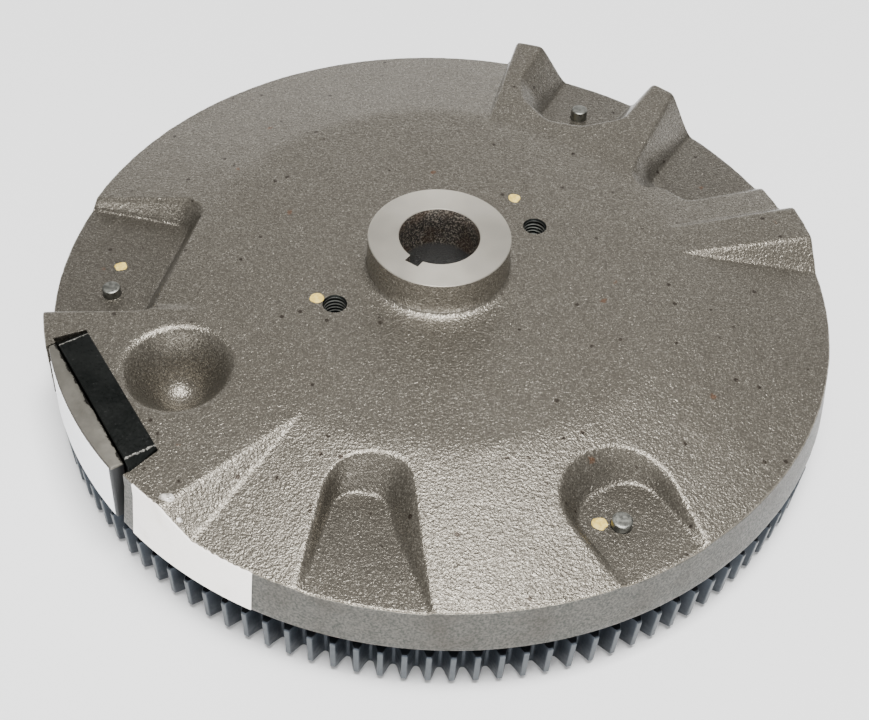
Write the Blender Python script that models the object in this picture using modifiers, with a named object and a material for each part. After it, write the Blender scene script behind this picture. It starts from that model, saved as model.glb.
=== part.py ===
"""Flywheel of a small V-twin engine, as separate solids.

A cast iron wheel with a machined hub, three fan pockets, two cooling horns, a
cooling fin and a magnet sector on its upper face, a shrunk-on ring gear, an
ignition magnet with its pole shoe, two labels, three fan drive pins and the
alternator magnets inside the skirt.

Units are metres, +Z is up (the hub face), and the origin is on the shaft axis
in the plane of the skirt's lower face.
"""

import bpy
import bmesh
import math
from mathutils import Vector

MM = 0.001
GAP = 0.3                       # clearance between neighbouring solids, mm
WELD_DISTANCE = 0.00002         # metres

# Driving dimensions, in millimetres and degrees
TURN_STEPS = 120                # facets round a full turned piece

HUB_TOP = 52.5
HUB_RADIUS = 23.1
DISC_TOP = 40.0                 # level of the inner disc
DISC_RADIUS = 80.0              # where the disc breaks into the cone
WEB_UNDERSIDE = 31.5
CONE_EDGE = (126.5, 33.9)       # radius and height of the cone's outer edge
HORN_TOP = 45.1
# The rim wall, as (radius, height); its draft eases above the cone's edge
WALL_PROFILE = ((129.44, 16.4), (126.42, 34.4), (126.0, 40.5), (125.8, 47.0))
WALL_BOTTOM = 18.4
SECTOR_WALL_LOW = 129.5         # the steeper wall of the magnet sector
SECTOR_WALL_TOP = 128.2
SKIRT_RADIUS = 118.2            # seat of the ring gear
CAVITY_RADIUS = 74.0            # bore of the skirt, round the stator
MOAT = (84.0, 99.0, 14.0)       # recess in the skirt's lower face: radii and depth
BOSS_RADIUS = 24.0
BOSS_BOTTOM = 6.0
RELIEF_RADIUS = 13.05           # cast relief at the top of the bore
RELIEF_BOTTOM = 38.5
TAPER_TOP_RADIUS = 12.4
TAPER = 1.0 / 16.0              # radius gained per unit of depth

GEAR_TEETH = 120
GEAR_MODULE = 25.4 / 12.0       # 12 diametral pitch
GEAR_BOTTOM = 1.0
GEAR_TOP = 14.6
GEAR_TIP_RADIUS = 129.3
GEAR_ROOT_RADIUS = 124.7
GEAR_BORE_RADIUS = SKIRT_RADIUS + GAP
GEAR_FIRST_TOOTH = -88.1        # direction of one tooth's middle

KEYWAY_ANGLE = 238.5
KEYWAY_WIDTH = 4.9
KEYWAY_DEPTH = 15.9             # from the axis to the keyway's floor

PULLER_RADIUS = 38.3
PULLER_ANGLES = (33.3, 213.3)
PULLER_HOLE = 3.45              # hole radius

PIN_RADIUS = 3.0
PIN_CIRCLE = 108.4
PIN_BOTTOM = 20.0
PINS = (("fan_pin_rear", 62.2, 34.2), ("fan_pin_left", 186.9, 33.6),
        ("fan_pin_front", 300.9, 34.9))      # name, angle, top height

MAGNET_ANGLE = 215.4            # direction square to the ignition magnet
MAGNET_INNER = 111.0            # distances from the axis along that direction
MAGNET_OUTER = 121.0
MAGNET_ENDS = (-28.0, 22.8)     # the magnet's ends, along its length
WEDGE_ENDS = (-33.0, 26.4)      # the outer ends of its end wedges, at the shoe
WEDGE_SKEW = (2.0, -3.0)        # how far the slot's ends move in, across the slot
MAGNET_FLOOR = 22.0
MAGNET_TOP = 41.8
SHOE_ENDS = (-31.0, 23.0)
SHOE_BOTTOM = 17.0
SHOE_RADIUS_LOW = 129.1
SHOE_RADIUS_TOP = 127.5
NOTCH_BOTTOM = 16.5
NOTCH_END = 26.4                # end of the open notch beside the shoe

DIMPLE_CENTRE = (-77.4, -51.9)
DIMPLE_SPHERE = 17.5
DIMPLE_CENTRE_HEIGHT = 42.5

LABEL_GAP = 0.3
LABEL_THICKNESS = 0.4
POLE_LABEL = (204.0, 225.4, 18.0, 39.5)      # start, end angle, low, high
RIM_LABEL = (229.4, 249.2, 18.8, 39.4)

ALTERNATOR_MAGNETS = 12
ALT_MAGNET_ARC = 21.6           # degrees
ALT_MAGNET_INNER = 67.2
ALT_MAGNET_BOTTOM = 4.5
ALT_MAGNET_TOP = 26.5


# Scene helpers

def clear_scene():
    for ob in list(bpy.data.objects):
        bpy.data.objects.remove(ob, do_unlink=True)


def new_collection(name):
    collection = bpy.data.collections.new(name)
    bpy.context.scene.collection.children.link(collection)
    return collection


def material(name, colour, roughness, metallic):
    mat = bpy.data.materials.new(name)
    mat.use_nodes = True
    shader = mat.node_tree.nodes["Principled BSDF"]
    shader.inputs["Base Color"].default_value = (*colour, 1.0)
    shader.inputs["Roughness"].default_value = roughness
    shader.inputs["Metallic"].default_value = metallic
    return mat


def add_mesh_object(name, mesh, collection):
    ob = bpy.data.objects.new(name, mesh)
    collection.objects.link(ob)
    return ob


def smooth(mesh, degrees=30.0):
    mesh.shade_smooth()
    mesh.set_sharp_from_angle(angle=math.radians(degrees))


def as_part(ob, mat):
    ob.data.materials.clear()
    ob.data.materials.append(mat)
    return ob


def as_cutter(ob):
    ob.hide_render = True
    ob.display_type = "WIRE"
    return ob


def cut(ob, cutter):
    mod = ob.modifiers.new("cut " + cutter.name, "BOOLEAN")
    mod.operation = "DIFFERENCE"
    mod.solver = "EXACT"
    mod.object = cutter


def weld(ob):
    """Merges the near-coincident points that a cut leaves on shared edges."""
    mod = ob.modifiers.new("weld", "WELD")
    mod.merge_threshold = WELD_DISTANCE


# Shape helpers; lengths in millimetres, angles in degrees

def polar(radius, degrees):
    angle = math.radians(degrees)
    return radius * math.cos(angle), radius * math.sin(angle)


def turned(name, profile, collection, steps=TURN_STEPS):
    """A closed profile of (radius, height), turned about Z."""
    mesh = bpy.data.meshes.new(name)
    points = [(r * MM, 0.0, z * MM) for r, z in profile]
    count = len(points)
    edges = [(i, (i + 1) % count) for i in range(count)]
    mesh.from_pydata(points, edges, [])
    ob = add_mesh_object(name, mesh, collection)
    screw = ob.modifiers.new("turn", "SCREW")
    screw.axis = "Z"
    screw.angle = math.tau
    screw.steps = steps
    screw.render_steps = steps
    screw.use_merge_vertices = True
    screw.merge_threshold = 0.00001
    return ob


def bridged(name, first, second, collection):
    """A solid between two closed outlines of (x, y, z) with matching points."""
    bm = bmesh.new()
    rings = []
    for outline in (first, second):
        rings.append([bm.verts.new(Vector(point) * MM) for point in outline])
        bm.faces.new(rings[-1])
    count = len(first)
    for i in range(count):
        j = (i + 1) % count
        bm.faces.new((rings[0][i], rings[0][j], rings[1][j], rings[1][i]))
    bmesh.ops.recalc_face_normals(bm, faces=bm.faces)
    mesh = bpy.data.meshes.new(name)
    bm.to_mesh(mesh)
    bm.free()
    return add_mesh_object(name, mesh, collection)


def loft(name, low, high, z_low, z_high, collection):
    """A solid between two level outlines of (x, y) with matching points."""
    bottom = [(x, y, z_low) for x, y in low]
    top = [(x, y, z_high) for x, y in high]
    return bridged(name, bottom, top, collection)


def cylinder(name, radius, z_low, z_high, centre, segments, collection):
    bm = bmesh.new()
    bmesh.ops.create_cone(bm, cap_ends=True, segments=segments, radius1=radius * MM,
                          radius2=radius * MM, depth=(z_high - z_low) * MM)
    mesh = bpy.data.meshes.new(name)
    bm.to_mesh(mesh)
    bm.free()
    ob = add_mesh_object(name, mesh, collection)
    ob.location = (centre[0] * MM, centre[1] * MM, (z_low + z_high) / 2.0 * MM)
    return ob


def rounded(corners, arc_points=7):
    """An outline from (x, y, corner radius); a zero radius is a sharp corner."""
    outline = []
    count = len(corners)
    for i, (x, y, radius) in enumerate(corners):
        corner = Vector((x, y))
        if radius == 0:
            outline.append((x, y))
            continue
        before = (Vector(corners[i - 1][:2]) - corner).normalized()
        after = (Vector(corners[(i + 1) % count][:2]) - corner).normalized()
        half = before.angle(after) / 2.0
        centre = corner + (before + after).normalized() * (radius / math.sin(half))
        start = corner + before * (radius / math.tan(half)) - centre
        end = corner + after * (radius / math.tan(half)) - centre
        sweep = start.angle_signed(end)
        for k in range(arc_points):
            spoke = start.copy()
            angle = -sweep * k / (arc_points - 1)
            c, s = math.cos(angle), math.sin(angle)
            outline.append((centre.x + c * spoke.x - s * spoke.y,
                            centre.y + s * spoke.x + c * spoke.y))
    return outline


def turned_to(outline, degrees):
    """An outline of (outward, sideways) points, placed round the axis."""
    c, s = math.cos(math.radians(degrees)), math.sin(math.radians(degrees))
    return [(c * u - s * v, s * u + c * v) for u, v in outline]


def chord_prism(name, near_profile, far_profile, near, far, collection):
    """A solid between two outlines of (along, height), square to the magnet."""
    ends = []
    for distance, profile in ((near, near_profile), (far, far_profile)):
        plan = turned_to([(distance, along) for along, _height in profile], MAGNET_ANGLE)
        ends.append([(x, y, height) for (x, y), (_along, height) in zip(plan, profile)])
    return bridged(name, ends[0], ends[1], collection)


def band(name, start, end, inner, outer, z_low, z_high, collection, step=1.5):
    """A curved strip; inner and outer are (low radius, high radius) pairs."""
    count = max(2, round((end - start) / step) + 1)
    angles = [start + (end - start) * k / (count - 1) for k in range(count)]
    low = [polar(outer[0], a) for a in angles]
    low += [polar(inner[0], a) for a in reversed(angles)]
    high = [polar(outer[1], a) for a in angles]
    high += [polar(inner[1], a) for a in reversed(angles)]
    return loft(name, low, high, z_low, z_high, collection)


def between(low, high, z):
    """The radius at a height, on the line through two (radius, height) points."""
    share = (z - low[1]) / (high[1] - low[1])
    return low[0] + (high[0] - low[0]) * share


def wall_radius(z):
    """The rim wall's outer radius at a height, with the wall's draft."""
    for low, high in zip(WALL_PROFILE, WALL_PROFILE[1:]):
        if z <= high[1]:
            break
    return between(low, high, z)


def shoe_radius(z):
    """The pole shoe's outer radius at a height."""
    return between((SHOE_RADIUS_LOW, SHOE_BOTTOM), (SHOE_RADIUS_TOP, DISC_TOP), z)


# Cutters for the casting's upper face

def cone_cutter(cutters):
    """The air above the cone, apart from what stands on it."""
    edge_r, edge_z = CONE_EDGE
    slope = (DISC_TOP - edge_z) / (edge_r - DISC_RADIUS)
    inner = DISC_RADIUS - 4.0
    profile = [(140.0, 56.0), (140.0, edge_z - (140.0 - edge_r) * slope),
               (inner, DISC_TOP + 4.0 * slope), (inner, 56.0)]
    air = as_cutter(turned("cone_air", profile, cutters))

    # Magnet sector: flat, with a straight back edge and a ridge in front
    high = [(-25.0, -30.3), (-180.0, -30.3), (-180.0, -133.0), (-102.0, -133.0),
            (-28.2, -57.1)]
    low = [(-25.0, -28.3), (-180.0, -28.3), (-180.0, -146.4), (-88.1, -146.4),
           (-14.3, -70.5)]
    cut(air, as_cutter(loft("magnet_sector", low, high, 30.0, DISC_TOP, cutters)))

    # Horns: the wedge that the two rear horns are left standing in
    low = [polar(60, 79.9), polar(60, 38), polar(170, 38), polar(170, 79.9)]
    high = [polar(60, 77.8), polar(60, 38), polar(170, 38), polar(170, 77.8)]
    cut(air, as_cutter(loft("horn_sector", low, high, 29.0, 58.0, cutters)))

    # Fin: a low flat-topped ridge with sloping sides
    low = turned_to([(60, -21.7), (160, -21.7), (160, 19.0), (60, 19.0)], 13.0)
    high = turned_to([(60, -7.0), (160, -7.0), (160, 6.6), (60, 6.6)], 13.0)
    cut(air, as_cutter(loft("fin", low, high, 30.0, 41.2, cutters)))
    return air


def wall_cutter(cutters):
    """The air outside the drafted wall, apart from the magnet sector's."""
    outer = [(140.0, WALL_PROFILE[-1][1]), (140.0, WALL_PROFILE[0][1])]
    air = as_cutter(turned("wall_air", list(WALL_PROFILE) + outer, cutters))
    sector = [(-20.0, -29.3), (-180.0, -29.3), polar(220.0, 226.7), polar(30.0, 226.7)]
    cut(air, as_cutter(loft("magnet_sector_wall", sector, sector, 10.0, 60.0, cutters)))
    return air


# Each pocket: name, direction, floor height and its rise outwards, floor corners,
# corners at height 46
POCKET_TOP = 46.0
POCKET_FLOOR_AT = 96.0          # distance at which the floor height is given
POCKETS = (
    ("pocket_rear", 62.5, 30.3, 0.0,
     [(96, -13, 11), (150, -17.5, 0), (150, 16, 0), (96, 11, 11)],
     [(83, -24, 22), (150, -29, 0), (150, 29, 0), (83, 26, 22)]),
    ("pocket_left", 182.5, 30.6, 0.0,
     [(86, -24, 6), (150, -41, 0), (150, 22, 0), (97, 22, 6)],
     [(77, -36, 12), (150, -41.5, 0), (150, 27, 0), (87.5, 27, 8)]),
    ("pocket_front_right", 302.5, 32.0, 0.0,
     [(96, -13, 11), (150, -15.5, 0), (150, 13, 0), (96, 10.5, 10)],
     [(79, -25, 22), (150, -20, 0), (150, 19, 0), (79, 25, 22)]),
    ("pocket_front", 262.5, 31.6, 0.061,
     [(91.5, -13.4, 6), (150, -16.2, 0), (150, 33.7, 0), (91.5, 1, 6)],
     [(69.5, -24, 16), (150, -19, 0), (150, 36, 0), (69.5, 14, 16)]),
    ("pocket_right", 35.0, 30.5, 0.0,
     [(95, -12, 6), (150, -21, 0), (150, 30.5, 0), (95, 5, 6)],
     [(80, -22, 10), (150, -29, 0), (150, 45, 0), (80, 6, 8)]),
)


def pocket_cutters(cutters):
    result = []
    for name, angle, floor, rise, low, high in POCKETS:
        low = rounded(low)
        heights = [floor + rise * (outward - POCKET_FLOOR_AT) for outward, _side in low]
        bottom = [(x, y, z) for (x, y), z in zip(turned_to(low, angle), heights)]
        top = [(x, y, POCKET_TOP) for x, y in turned_to(rounded(high), angle)]
        result.append(as_cutter(bridged(name, bottom, top, cutters)))
    return result


def magnet_cutters(cutters):
    """The chord pocket for the magnet and the open notch for its shoe."""
    t0, t1 = WEDGE_ENDS[0] - GAP, WEDGE_ENDS[1] + GAP
    n0, n1, t2 = MAGNET_OUTER, MAGNET_OUTER + GAP, SHOE_ENDS[0] - GAP
    pocket = turned_to([(MAGNET_INNER, t0 + WEDGE_SKEW[0]), (n1, t0), (n1, t1),
                        (MAGNET_INNER, t1 + WEDGE_SKEW[1])], MAGNET_ANGLE)
    notch = turned_to([(n0, t2), (150, t2), (150, NOTCH_END + 1.0), (n0, NOTCH_END)],
                      MAGNET_ANGLE)
    first = loft("magnet_pocket", pocket, pocket, MAGNET_FLOOR - GAP, 50.0, cutters)
    second = loft("shoe_notch", notch, notch, NOTCH_BOTTOM, 50.5, cutters)
    return [as_cutter(first), as_cutter(second)]


def small_cutters(cutters):
    """The dimple, the keyway, the puller holes and the fan pins' holes."""
    result = []
    bm = bmesh.new()
    bmesh.ops.create_uvsphere(bm, u_segments=32, v_segments=20, radius=DIMPLE_SPHERE * MM)
    mesh = bpy.data.meshes.new("dimple")
    bm.to_mesh(mesh)
    bm.free()
    dimple = add_mesh_object("dimple", mesh, cutters)
    dimple.location = (DIMPLE_CENTRE[0] * MM, DIMPLE_CENTRE[1] * MM,
                       DIMPLE_CENTRE_HEIGHT * MM)
    result.append(dimple)

    half = KEYWAY_WIDTH / 2.0
    slot = turned_to([(5, -half), (KEYWAY_DEPTH, -half), (KEYWAY_DEPTH, half), (5, half)],
                     KEYWAY_ANGLE)
    result.append(loft("keyway", slot, slot, 0.0, 60.0, cutters))

    for i, angle in enumerate(PULLER_ANGLES):
        result.append(cylinder("puller_hole_%d" % (i + 1), PULLER_HOLE, 25.0, 45.0,
                               polar(PULLER_RADIUS, angle), 20, cutters))
    for name, angle, _top in PINS:
        result.append(cylinder(name + "_hole", PIN_RADIUS + GAP, PIN_BOTTOM - GAP, 48.0,
                               polar(PIN_CIRCLE, angle), 20, cutters))
    return [as_cutter(ob) for ob in result]


# Parts

def flywheel_casting(parts, cutters, mat):
    taper_bottom = TAPER_TOP_RADIUS + (RELIEF_BOTTOM - BOSS_BOTTOM) * TAPER
    profile = [
        (RELIEF_RADIUS, HUB_TOP), (HUB_RADIUS - 0.4, HUB_TOP), (HUB_RADIUS, HUB_TOP - 0.4),
        (HUB_RADIUS, 42.0), (HUB_RADIUS + 0.5, 40.6), (HUB_RADIUS + 1.9, DISC_TOP),
        (DISC_RADIUS, DISC_TOP), (127.2, HORN_TOP), (SECTOR_WALL_TOP, 44.2),
        (SECTOR_WALL_LOW, WALL_BOTTOM), (129.0, 17.9), (124.2, 17.5),
        (123.8, GEAR_TOP + GAP), (SKIRT_RADIUS, GEAR_TOP + GAP), (SKIRT_RADIUS, 0.8),
        (SKIRT_RADIUS - 0.8, 0.0), (MOAT[1] + 0.8, 0.0), (MOAT[1], 0.8),
        (MOAT[1] - 0.6, MOAT[2] - 2.0), (MOAT[1] - 2.6, MOAT[2]),
        (MOAT[0] + 2.6, MOAT[2]), (MOAT[0] + 0.6, MOAT[2] - 2.0), (MOAT[0], 3.0),
        (MOAT[0] - 1.0, 2.0), (CAVITY_RADIUS + 1.5, 2.0), (CAVITY_RADIUS, 3.5),
        (CAVITY_RADIUS, 29.0),
        (CAVITY_RADIUS - 2.5, WEB_UNDERSIDE),
        (BOSS_RADIUS + 3.0, WEB_UNDERSIDE), (BOSS_RADIUS, 28.5), (BOSS_RADIUS, 6.8),
        (BOSS_RADIUS - 0.8, BOSS_BOTTOM), (taper_bottom + 0.5, BOSS_BOTTOM),
        (taper_bottom, BOSS_BOTTOM + 0.6), (TAPER_TOP_RADIUS, RELIEF_BOTTOM - 0.3),
        (RELIEF_RADIUS, RELIEF_BOTTOM),
    ]
    ob = turned("flywheel_casting", profile, parts)
    cut(ob, wall_cutter(cutters))
    weld(ob)
    cut(ob, cone_cutter(cutters))
    weld(ob)
    for cutter in pocket_cutters(cutters) + magnet_cutters(cutters):
        cut(ob, cutter)
    weld(ob)
    for cutter in small_cutters(cutters):
        cut(ob, cutter)
    return as_part(ob, mat)


def gear_outline():
    """The toothed outline: root, flank and tip points for each tooth."""
    pitch = 360.0 / GEAR_TEETH
    pitch_radius = GEAR_MODULE * GEAR_TEETH / 2.0
    stations = ((GEAR_ROOT_RADIUS, 0.41), (pitch_radius, 0.25), (GEAR_TIP_RADIUS, 0.12))
    outline = []
    for tooth in range(GEAR_TEETH):
        middle = GEAR_FIRST_TOOTH + tooth * pitch
        for radius, share in stations:
            outline.append(polar(radius, middle - share * pitch))
        for radius, share in reversed(stations):
            outline.append(polar(radius, middle + share * pitch))
    return outline


def ring_gear(parts, mat):
    curve = bpy.data.curves.new("ring_gear_outline", "CURVE")
    curve.dimensions = "2D"
    curve.fill_mode = "BOTH"
    curve.extrude = (GEAR_TOP - GEAR_BOTTOM) / 2.0 * MM
    bore = [polar(GEAR_BORE_RADIUS, 360.0 * k / TURN_STEPS) for k in range(TURN_STEPS)]
    for outline in (gear_outline(), bore):
        spline = curve.splines.new("POLY")
        spline.points.add(len(outline) - 1)
        for point, (x, y) in zip(spline.points, outline):
            point.co = (x * MM, y * MM, 0.0, 1.0)
        spline.use_cyclic_u = True
    ob = bpy.data.objects.new("ring_gear", curve)
    parts.objects.link(ob)
    ob.location = (0.0, 0.0, (GEAR_TOP + GEAR_BOTTOM) / 2.0 * MM)
    curve.materials.append(mat)
    return ob


def fan_pins(parts, mat):
    """Drive pins for the cooling fan, pressed into the three pockets."""
    for name, angle, top in PINS:
        x, y = polar(PIN_CIRCLE, angle)
        ob = cylinder(name, PIN_RADIUS, PIN_BOTTOM, top, (x, y), 24, parts)
        bevel = ob.modifiers.new("edge", "BEVEL")
        bevel.width = 0.35 * MM
        bevel.segments = 1
        bevel.limit_method = "ANGLE"
        smooth(ob.data)
        as_part(ob, mat)


def ignition_magnet(parts, mat):
    """The magnet bar that lies along a chord behind the pole shoe."""
    n0, n1 = MAGNET_INNER + GAP, MAGNET_OUTER
    t0, t1 = MAGNET_ENDS
    bar = turned_to([(n0, t0), (n1, t0), (n1, t1), (n0, t1)], MAGNET_ANGLE)
    top = turned_to([(n0 + 0.4, t0 + 0.4), (n1 - 0.4, t0 + 0.4), (n1 - 0.4, t1 - 0.4),
                     (n0 + 0.4, t1 - 0.4)], MAGNET_ANGLE)
    body = loft("ignition_magnet", bar, top, MAGNET_FLOOR, MAGNET_TOP, parts)
    as_part(body, mat)


def magnet_wedges(parts, mat):
    """Black wedges that hold the magnet's two ends and slope down outwards."""
    names = ("magnet_wedge_rear", "magnet_wedge_front")
    crest = MAGNET_TOP - 0.3
    for name, end, outer, skew in zip(names, MAGNET_ENDS, WEDGE_ENDS, WEDGE_SKEW):
        outwards = math.copysign(1.0, outer - end)
        start = end + outwards * GAP
        profiles = []
        for tip in (outer + skew, outer):
            reach = abs(tip - start)
            profiles.append([(start, MAGNET_FLOOR), (tip, MAGNET_FLOOR),
                             (tip, crest - 0.4 * reach), (start + outwards * 0.1, crest),
                             (start, crest)])
        ob = chord_prism(name, *profiles, MAGNET_INNER + GAP, MAGNET_OUTER, parts)
        as_part(ob, mat)


def pole_shoe(parts, mat):
    """The steel segment between the magnet and the rim's outside."""
    n0 = MAGNET_OUTER + GAP

    def outline(radius):
        start = math.degrees(math.asin(SHOE_ENDS[0] / radius))
        end = math.degrees(math.asin(SHOE_ENDS[1] / radius))
        steps = 18
        arc = [polar(radius, start + (end - start) * k / steps) for k in range(steps + 1)]
        return turned_to([(n0, SHOE_ENDS[0])] + arc + [(n0, SHOE_ENDS[1])], MAGNET_ANGLE)

    ob = loft("pole_shoe", outline(SHOE_RADIUS_LOW), outline(SHOE_RADIUS_TOP),
              SHOE_BOTTOM, DISC_TOP, parts)
    as_part(ob, mat)


def labels(parts, cutters, mat_white, mat_cream):
    """Blank labels, on the pole shoe and on the rim wall beside it."""
    kinds = (("pole_shoe_label", POLE_LABEL, mat_white, shoe_radius),
             ("rim_label", RIM_LABEL, mat_cream, wall_radius))
    for name, spec, mat, seat in kinds:
        start, end, low, high = spec
        inner = (seat(low) + LABEL_GAP, seat(high) + LABEL_GAP)
        outer = (inner[0] + LABEL_THICKNESS, inner[1] + LABEL_THICKNESS)
        ob = band(name, start, end, inner, outer, low, high, parts)
        if name == "rim_label":
            cut(ob, cutters.objects["cone_air"])
        as_part(ob, mat)


def alternator_magnets(parts, mat):
    """Magnets bonded round the inside of the skirt, facing the stator."""
    outer = CAVITY_RADIUS - GAP
    for k in range(ALTERNATOR_MAGNETS):
        middle = 360.0 / ALTERNATOR_MAGNETS * (k + 0.5)
        start, end = middle - ALT_MAGNET_ARC / 2.0, middle + ALT_MAGNET_ARC / 2.0
        ob = band("alternator_magnet_%02d" % (k + 1), start, end,
                  (ALT_MAGNET_INNER, ALT_MAGNET_INNER), (outer, outer),
                  ALT_MAGNET_BOTTOM, ALT_MAGNET_TOP, parts, step=3.0)
        as_part(ob, mat)


def build():
    clear_scene()
    parts = new_collection("flywheel")
    cutters = new_collection("cutters")
    iron = material("cast iron", (0.23, 0.20, 0.175), 0.55, 0.7)
    steel = material("blued gear steel", (0.05, 0.06, 0.075), 0.45, 0.8)
    bright = material("ground pin steel", (0.36, 0.36, 0.35), 0.35, 1.0)
    black = material("black magnet", (0.012, 0.013, 0.012), 0.4, 0.0)
    shoe = material("pole shoe steel", (0.32, 0.29, 0.25), 0.4, 0.9)
    white = material("white label", (0.85, 0.85, 0.86), 0.5, 0.0)
    cream = material("cream label", (0.82, 0.78, 0.72), 0.6, 0.0)
    ferrite = material("ferrite magnet", (0.045, 0.045, 0.05), 0.6, 0.0)

    flywheel_casting(parts, cutters, iron)
    ring_gear(parts, steel)
    fan_pins(parts, bright)
    ignition_magnet(parts, black)
    magnet_wedges(parts, black)
    pole_shoe(parts, shoe)
    labels(parts, cutters, white, cream)
    alternator_magnets(parts, ferrite)


build()
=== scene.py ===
"""Looks of the flywheel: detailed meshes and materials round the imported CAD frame.

Shapes are worked out in millimetres and degrees, in the CAD's own frame, and
mesh helpers turn them into metres.
"""

import math

import bmesh
import bpy
import numpy as np
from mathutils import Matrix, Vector


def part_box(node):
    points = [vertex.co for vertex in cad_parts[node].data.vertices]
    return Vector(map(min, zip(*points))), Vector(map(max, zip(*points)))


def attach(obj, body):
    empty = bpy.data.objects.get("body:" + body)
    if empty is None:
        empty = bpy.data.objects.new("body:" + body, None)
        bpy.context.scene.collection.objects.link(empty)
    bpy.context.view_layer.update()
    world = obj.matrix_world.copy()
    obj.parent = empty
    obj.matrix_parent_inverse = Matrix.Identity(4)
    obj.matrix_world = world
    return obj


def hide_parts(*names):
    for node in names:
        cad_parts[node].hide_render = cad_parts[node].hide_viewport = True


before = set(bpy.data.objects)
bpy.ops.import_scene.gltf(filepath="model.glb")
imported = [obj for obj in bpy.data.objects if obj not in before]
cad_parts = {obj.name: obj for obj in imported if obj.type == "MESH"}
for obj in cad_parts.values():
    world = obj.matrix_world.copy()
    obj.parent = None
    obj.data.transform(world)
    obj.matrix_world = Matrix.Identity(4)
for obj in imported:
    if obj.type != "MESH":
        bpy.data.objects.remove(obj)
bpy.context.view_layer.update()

MM = 0.001

# Dimensions, in millimetres and degrees; they repeat the CAD's

HUB_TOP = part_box("flywheel_casting")[1].z / MM
HUB_RADIUS = 23.1
HUB_FILLET = (3.4, 1.5)         # its reach outwards and upwards
DISC_TOP = 40.0
CONE_EDGE_RADIUS = 126.5
CONE_EDGE_HEIGHT = 33.9
WALL_PROFILE = ((129.44, 16.4), (126.42, 34.4), (126.0, 40.5), (125.8, 47.0))
WALL_BOTTOM = 18.4
SECTOR_WALL_LOW = 129.5         # the steeper wall of the magnet sector
SECTOR_DRAFT = 1.3 / 25.8       # radius it loses per unit of height
HORN_RISE = 5.1 / 47.2          # the horns' upward slope
SKIRT_RADIUS = 118.2
CAVITY_RADIUS = 74.0
WEB_UNDERSIDE = 31.5
BOSS_RADIUS = 24.0
BOSS_BOTTOM = 6.0
RELIEF_RADIUS = 13.05
RELIEF_BOTTOM = 38.5
TAPER_TOP_RADIUS = 12.4
TAPER_BOTTOM_RADIUS = 14.43
KEYWAY_ANGLE = 238.5
KEYWAY_WIDTH = 4.9
KEYWAY_FLOOR = 15.9             # from the axis

MAGNET_ANGLE = 215.4
MAGNET_INNER = 111.0
MAGNET_OUTER = 121.0
MAGNET_ENDS = (-28.0, 22.8)
WEDGE_ENDS = (-33.0, 26.4)
MAGNET_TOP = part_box("ignition_magnet")[1].z / MM
SHOE_ENDS = (-31.0, 23.0)
NOTCH_END = 26.4
WEDGE_SKEW = (2.0, -3.0)        # how far the slot's ends move in, across the slot

BOWL_PLACE = (-77.4, -51.9)
BOWL_RADIUS = 18.9
BOWL_SLOPE = 55.0
BOWL_BOTTOM = 10.0
BOWL_RIM = 4.0

PINS = (("fan_pin_rear", 62.2), ("fan_pin_left", 186.9), ("fan_pin_front", 300.9))
PIN_CIRCLE = 108.4
PIN_RADIUS = 3.0

LABEL_START = 229.5             # where the cream label begins and ends
LABEL_END = 249.2
PULLER_CIRCLE = 38.3
PULLER_ANGLES = (33.3, 213.3)
PULLER_RADIUS = 3.45
THREAD_START = 25.0
THREAD_PITCH = 1.41
THREAD_DEPTH = 0.55

COLUMNS = 1440    # points round the casting
TOP_STEP = 0.45                 # spacing of its points outwards, on the cone


# Small geometry helpers

def polar(radius, degrees):
    angle = np.radians(degrees)
    return radius * np.cos(angle), radius * np.sin(angle)


def in_turned_frame(x, y, degrees):
    """World x, y as distances along and across a direction."""
    c, s = math.cos(math.radians(degrees)), math.sin(math.radians(degrees))
    return c * x + s * y, c * y - s * x


def from_turned_frame(u, v, degrees):
    c, s = math.cos(math.radians(degrees)), math.sin(math.radians(degrees))
    return c * u - s * v, s * u + c * v


def smooth_min(a, b, k):
    h = np.clip(0.5 + 0.5 * (b - a) / k, 0.0, 1.0)
    return b * (1.0 - h) + a * h - k * h * (1.0 - h)


def smooth_max(a, b, k):
    return -smooth_min(-a, -b, k)


def ease(value, low, high):
    t = np.clip((value - low) / (high - low), 0.0, 1.0)
    return t * t * (3.0 - 2.0 * t)


def rounded(corners, arc_points=9):
    """An outline from (x, y, corner radius); a zero radius is a sharp corner."""
    outline = []
    count = len(corners)
    for i, (x, y, radius) in enumerate(corners):
        corner = Vector((x, y))
        if radius == 0:
            outline.append((x, y))
            continue
        before = (Vector(corners[i - 1][:2]) - corner).normalized()
        after = (Vector(corners[(i + 1) % count][:2]) - corner).normalized()
        half = before.angle(after) / 2.0
        centre = corner + (before + after).normalized() * (radius / math.sin(half))
        start = corner + before * (radius / math.tan(half)) - centre
        end = corner + after * (radius / math.tan(half)) - centre
        sweep = start.angle_signed(end)
        for k in range(arc_points):
            angle = -sweep * k / (arc_points - 1)
            c, s = math.cos(angle), math.sin(angle)
            outline.append((centre.x + c * start.x - s * start.y,
                            centre.y + s * start.x + c * start.y))
    return outline


def depth_inside(x, y, outline):
    """Distance to an outline, positive inside it and negative outside."""
    nearest = np.full(x.shape, 1e12)
    inside = np.zeros(x.shape, bool)
    for (ax, ay), (bx, by) in zip(outline, outline[1:] + outline[:1]):
        ex, ey = bx - ax, by - ay
        t = np.clip(((x - ax) * ex + (y - ay) * ey) / (ex * ex + ey * ey + 1e-12), 0.0, 1.0)
        nearest = np.minimum(nearest, (x - ax - t * ex) ** 2 + (y - ay - t * ey) ** 2)
        if abs(ey) > 1e-9:
            inside ^= ((ay > y) != (by > y)) & (x < ex * (y - ay) / ey + ax)
    return np.where(inside, 1.0, -1.0) * np.sqrt(nearest)


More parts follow.
